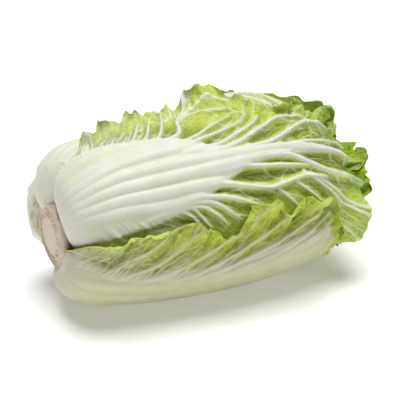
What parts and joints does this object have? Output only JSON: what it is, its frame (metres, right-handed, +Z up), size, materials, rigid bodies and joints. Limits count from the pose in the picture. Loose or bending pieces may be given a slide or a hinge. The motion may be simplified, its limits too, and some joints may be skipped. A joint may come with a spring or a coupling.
{
  "type": "napa cabbage",
  "caption": "Whole napa cabbage lying on its side: a cut core stem wrapped in overlapping leaves with thick white midribs and frilled green blades.",
  "frame": {"origin": "on the surface that the head lies on, under the centre of its bounding box", "axes": "+X along the head from the cut stem to the leaf tips, +Z up, -Y the side that faces a viewer in front"},
  "size_m": [0.287, 0.1616, 0.1607],
  "materials": {
    "stem": "matte cut stem, pale with tan leaf scars",
    "wrapper_leaf": "satin white midrib, light green crinkled blade",
    "head_leaf": "satin white midrib, pale green crinkled blade",
    "heart_leaf": "satin cream midrib, pale yellow blade"
  },
  "bodies": {
    "root": {"core_stem": "stem", "wrapper_leaf_01": "wrapper_leaf", "wrapper_leaf_02": "wrapper_leaf", "wrapper_leaf_03": "wrapper_leaf", "wrapper_leaf_04": "wrapper_leaf", "wrapper_leaf_05": "wrapper_leaf", "head_leaf_01": "head_leaf", "head_leaf_02": "head_leaf", "head_leaf_03": "head_leaf", "head_leaf_04": "head_leaf", "head_leaf_05": "head_leaf", "head_leaf_06": "head_leaf", "head_leaf_07": "head_leaf", "head_leaf_08": "head_leaf", "head_leaf_09": "head_leaf", "head_leaf_10": "head_leaf", "head_leaf_11": "head_leaf", "head_leaf_12": "head_leaf", "head_leaf_13": "head_leaf", "heart_leaf_01": "heart_leaf", "heart_leaf_02": "heart_leaf", "heart_leaf_03": "heart_leaf", "heart_leaf_04": "heart_leaf", "heart_leaf_05": "heart_leaf", "heart_leaf_06": "heart_leaf", "heart_leaf_07": "heart_leaf", "heart_leaf_08": "heart_leaf", "heart_leaf_09": "heart_leaf", "heart_leaf_10": "heart_leaf", "heart_leaf_11": "heart_leaf", "heart_leaf_12": "heart_leaf", "heart_leaf_13": "heart_leaf", "heart_leaf_14": "heart_leaf"}
  },
  "joints": []
}
